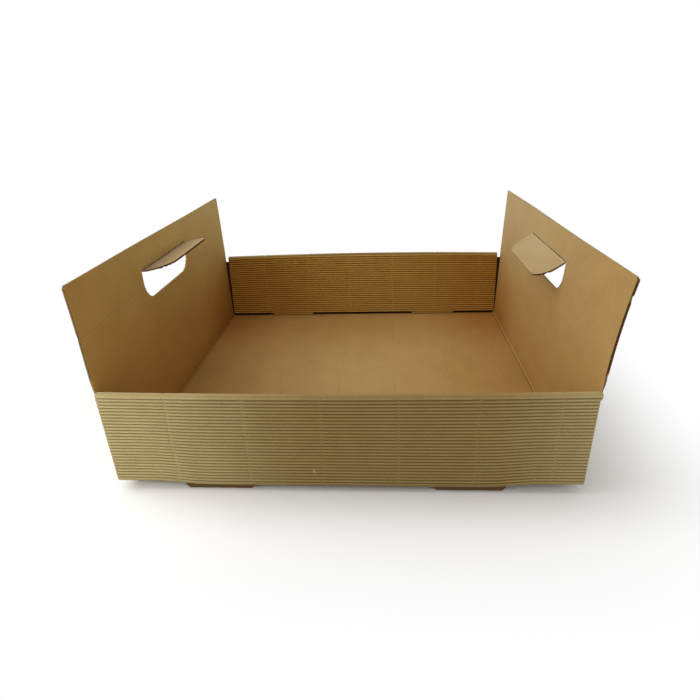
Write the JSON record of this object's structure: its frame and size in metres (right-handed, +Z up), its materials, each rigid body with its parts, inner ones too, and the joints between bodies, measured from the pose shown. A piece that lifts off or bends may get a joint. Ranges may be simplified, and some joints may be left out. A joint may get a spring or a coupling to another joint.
{
  "type": "cardboard tray box",
  "caption": "Open tray box folded from one sheet of single-face corrugated kraft board, with roll-over double walls, raised ends and a hinged flap in each hand hole.",
  "frame": {"origin": "on the ground under the middle of the tray, level with the tips of its locking tabs", "axes": "+X across the tray from its left raised end to its right one, +Y from the front roll-over wall to the rear one, +Z up"},
  "size_m": [0.4208, 0.4234, 0.1896],
  "materials": {
    "board": "matt brown kraft, smooth liner inside, open flutes outside"
  },
  "bodies": {
    "tray": {"tray": "board"},
    "left_flap": {"left_handle_flap": "board"},
    "right_flap": {"right_handle_flap": "board"}
  },
  "joints": [
    {"name": "left_flap_hinge", "type": "hinge", "parent": "tray", "child": "left_flap", "pos_m": [-0.20512, 0, 0.16214], "axis": [0, -1, 0], "range_deg": [-98, 67]},
    {"name": "right_flap_hinge", "type": "hinge", "parent": "tray", "child": "right_flap", "pos_m": [0.20884, 0, 0.16193], "axis": [0, 1, 0], "range_deg": [-53, 112]}
  ]
}
